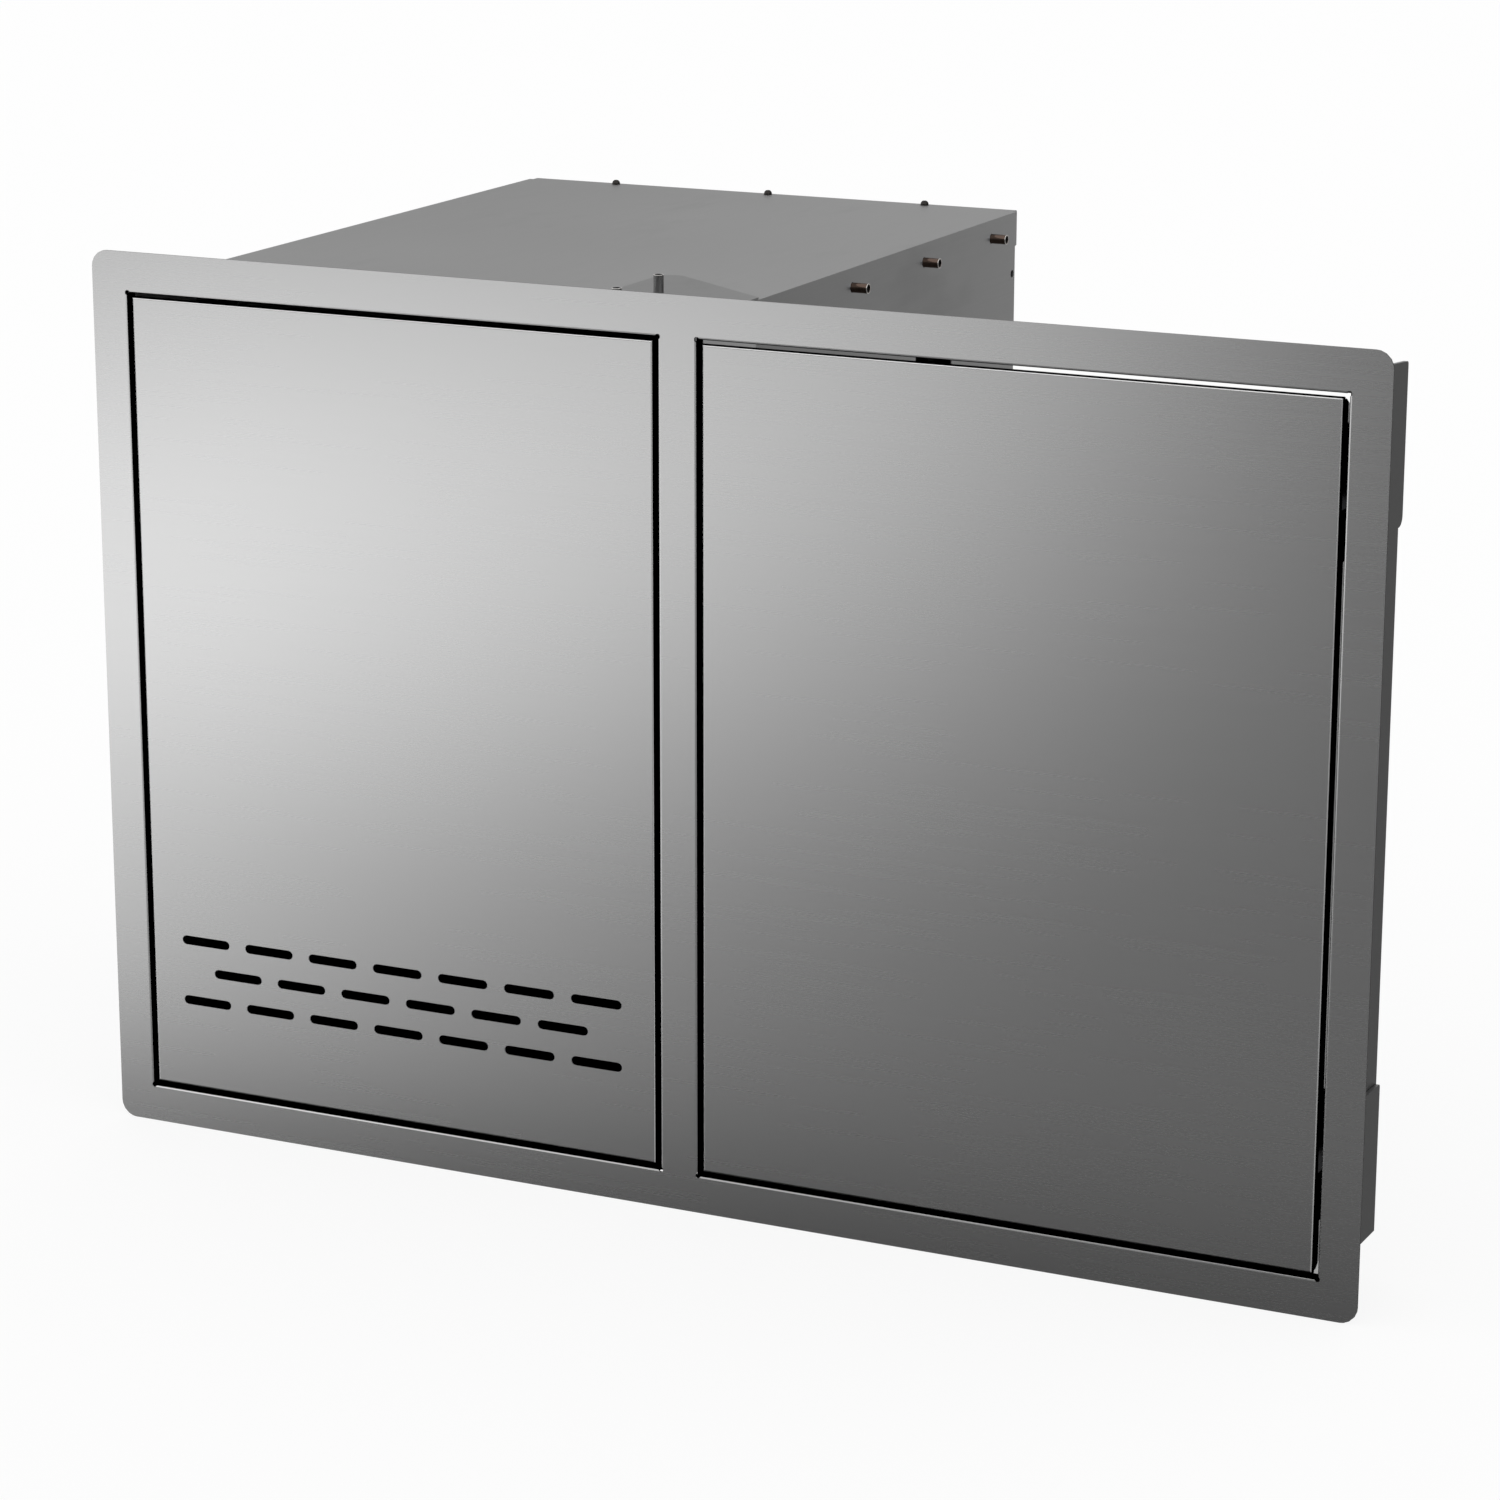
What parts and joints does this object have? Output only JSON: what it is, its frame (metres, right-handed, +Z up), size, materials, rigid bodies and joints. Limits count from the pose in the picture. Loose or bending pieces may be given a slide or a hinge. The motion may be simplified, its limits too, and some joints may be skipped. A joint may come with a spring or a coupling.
{
  "type": "propane tank drawer cabinet",
  "caption": "Built-in stainless steel cabinet front for an outdoor kitchen: a vented gas tank drawer in its enclosure beside a hinged access door.",
  "frame": {"origin": "middle of the bottom margin of the face frame, on the rear face that lies against the wall", "axes": "+X to the right as seen from the front, +Y back into the wall, +Z up"},
  "size_m": [0.8384, 0.5424, 0.5651],
  "materials": {
    "frame_steel": "stainless sheet brushed along its length",
    "front_steel": "fine horizontal brushing, folded edges polished by the press",
    "inner_steel": "plain rolled stainless sheet",
    "zinc_steel": "bright zinc plating",
    "fastener_steel": "dark turned steel",
    "latch_plastic": "black moulded nylon"
  },
  "bodies": {
    "cabinet": {"face_frame": "frame_steel", "enclosure_wall_left": "frame_steel", "enclosure_wall_right": "frame_steel", "enclosure_top": "frame_steel", "enclosure_floor": "frame_steel", "enclosure_back": "frame_steel", "corner_brace": "frame_steel", "latch_nut_1": "fastener_steel", "latch_nut_2": "fastener_steel", "slide_nut_left_1": "fastener_steel", "slide_nut_left_2": "fastener_steel", "slide_nut_left_3": "fastener_steel", "slide_nut_left_4": "fastener_steel", "slide_nut_right_1": "fastener_steel", "slide_nut_right_2": "fastener_steel", "slide_nut_right_3": "fastener_steel", "slide_nut_right_4": "fastener_steel", "top_rivet_1": "fastener_steel", "top_rivet_2": "fastener_steel", "top_rivet_3": "fastener_steel", "slide_hanger_left": "inner_steel", "slide_hanger_right": "inner_steel", "slide_outer_left": "zinc_steel", "slide_outer_right": "zinc_steel", "jamb_channel": "frame_steel", "upper_backing_plate": "frame_steel", "lower_backing_plate": "frame_steel", "upper_hinge_arm": "zinc_steel", "lower_hinge_arm": "zinc_steel", "drawer_latch_case": "latch_plastic", "door_latch_case": "latch_plastic"},
    "drawer": {"drawer_skin": "front_steel", "drawer_liner": "inner_steel", "drawer_side_left": "inner_steel", "drawer_side_right": "inner_steel", "drawer_floor": "inner_steel", "drawer_rear_rail": "inner_steel", "drawer_top_rail": "inner_steel", "tank_ring": "inner_steel", "drawer_strike_plate": "zinc_steel", "slide_inner_left": "zinc_steel", "slide_inner_right": "zinc_steel"},
    "slide_middle_left": {"slide_middle_left": "zinc_steel"},
    "slide_middle_right": {"slide_middle_right": "zinc_steel"},
    "door": {"door_skin": "front_steel", "door_liner": "inner_steel", "upper_hinge_bracket": "zinc_steel", "lower_hinge_bracket": "zinc_steel", "upper_hinge_pin": "zinc_steel", "lower_hinge_pin": "zinc_steel", "door_strike_plate": "zinc_steel"},
    "drawer_latch_plunger": {"drawer_latch_plunger": "latch_plastic"},
    "door_latch_plunger": {"door_latch_plunger": "latch_plastic"}
  },
  "joints": [
    {"name": "drawer_slide", "type": "slide", "parent": "cabinet", "child": "drawer", "axis": [0, -1, 0], "range_m": [0, 0.45]},
    {"name": "middle_left_slide", "type": "slide", "parent": "cabinet", "child": "slide_middle_left", "axis": [0, -1, 0], "range_m": [0, 0.225]},
    {"name": "middle_right_slide", "type": "slide", "parent": "cabinet", "child": "slide_middle_right", "axis": [0, -1, 0], "range_m": [0, 0.225]},
    {"name": "door_swing", "type": "hinge", "parent": "cabinet", "child": "door", "pos_m": [0.3786, 0.0078, 0.26987], "axis": [0, 0, 1], "range_deg": [0, 105]},
    {"name": "drawer_latch_push", "type": "slide", "parent": "cabinet", "child": "drawer_latch_plunger", "axis": [0, 1, 0], "range_m": [0, 0.003], "stiffness_N_per_m": 400},
    {"name": "door_latch_push", "type": "slide", "parent": "cabinet", "child": "door_latch_plunger", "axis": [0, 1, 0], "range_m": [0, 0.003], "stiffness_N_per_m": 400}
  ],
  "couplings": [
    {"joint": "middle_left_slide", "follows": "drawer_slide", "ratio": 0.5},
    {"joint": "middle_right_slide", "follows": "drawer_slide", "ratio": 0.5}
  ]
}
